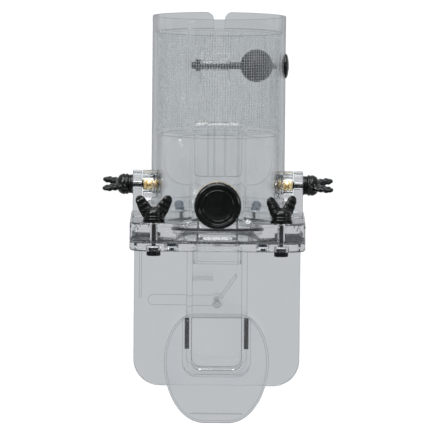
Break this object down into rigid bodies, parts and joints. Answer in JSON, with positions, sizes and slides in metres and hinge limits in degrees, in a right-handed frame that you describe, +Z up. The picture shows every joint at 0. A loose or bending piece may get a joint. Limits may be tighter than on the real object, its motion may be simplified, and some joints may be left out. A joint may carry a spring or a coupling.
{
  "type": "strainer canister",
  "caption": "Clear strainer canister: a mesh-lined tube clamped in a bolted flange over a back plate, with an outlet chute, a diverter flap and a deflector.",
  "frame": {"origin": "centre of the upper tube's mouth, in the plane of its rim", "axes": "+Z up along the tube, out of the mouth; +X to the right, towards the cross rod's domed plug; -Y is the front, towards the knob and the deflector"},
  "size_m": [0.172, 0.129, 0.3018],
  "materials": {
    "clear_plastic": "clear polycarbonate, polished",
    "clear_mesh": "clear woven mesh",
    "clear_silicone": "translucent",
    "black_plastic": "glossy",
    "black_rubber": "satin",
    "brass": "knurled, bright",
    "dark_steel": "blackened",
    "white_nylon": "natural nylon",
    "blue_grey_cap": "satin"
  },
  "bodies": {
    "canister": {"canister_tube": "clear_plastic", "mesh_sleeve": "clear_mesh", "mesh_ring_top": "clear_plastic", "mesh_ring_bottom": "clear_plastic", "socket_casting": "clear_plastic", "tube_seal": "black_rubber", "left_insert": "brass", "right_insert": "brass", "front_insert": "brass", "side_washers": "dark_steel", "flange_gasket": "clear_silicone", "lower_flange": "clear_plastic", "front_bolts": "dark_steel", "rear_bolts": "dark_steel", "front_washers": "dark_steel", "rear_washers": "white_nylon", "head_washers": "white_nylon", "rear_cap_nuts": "blue_grey_cap", "back_plate": "clear_plastic", "outlet_chute": "clear_plastic", "chute_stop": "clear_plastic", "mouth_frame": "clear_plastic", "mouth_strips": "black_rubber", "deflector_plate": "clear_plastic"},
    "sleeve": {"throat_sleeve": "clear_plastic"},
    "left_screw": {"left_wing_screw": "black_plastic"},
    "right_screw": {"right_wing_screw": "black_plastic"},
    "knob": {"front_knob": "black_plastic", "knob_stud": "dark_steel"},
    "left_nut": {"left_wing_nut": "black_plastic"},
    "right_nut": {"right_wing_nut": "black_plastic"},
    "cross_rod": {"side_plug": "black_plastic", "side_rod": "dark_steel", "float_ball": "black_rubber", "guide_spool": "clear_plastic", "rod_end_nut": "dark_steel"},
    "flap": {"diverter_flap": "clear_plastic", "flap_pin": "clear_plastic", "flap_lever": "clear_plastic"}
  },
  "joints": [
    {"name": "sleeve_slide", "type": "slide", "parent": "canister", "child": "sleeve", "axis": [0, 0, 1], "range_m": [-0.008, 0.002]},
    {"name": "left_wing_screw_turn", "type": "hinge", "parent": "canister", "child": "left_screw", "pos_m": [-0.07, 0, -0.127], "axis": [-1, 0, 0], "continuous": true},
    {"name": "right_wing_screw_turn", "type": "hinge", "parent": "canister", "child": "right_screw", "pos_m": [0.07, 0, -0.127], "axis": [1, 0, 0], "continuous": true},
    {"name": "front_knob_turn", "type": "hinge", "parent": "canister", "child": "knob", "pos_m": [0, -0.06, -0.1375], "axis": [0, -1, 0], "continuous": true},
    {"name": "left_wing_nut_turn", "type": "hinge", "parent": "canister", "child": "left_nut", "pos_m": [-0.0475, -0.051, -0.148], "axis": [0, 0, 1], "continuous": true},
    {"name": "right_wing_nut_turn", "type": "hinge", "parent": "canister", "child": "right_nut", "pos_m": [0.0475, -0.051, -0.148], "axis": [0, 0, 1], "continuous": true},
    {"name": "cross_rod_turn", "type": "hinge", "parent": "canister", "child": "cross_rod", "pos_m": [0.045, 0, -0.0372], "axis": [1, 0, 0], "continuous": true},
    {"name": "flap_swing", "type": "hinge", "parent": "canister", "child": "flap", "pos_m": [0, -0.01, -0.2148], "axis": [0, 1, 0], "range_deg": [-39, 8]}
  ]
}
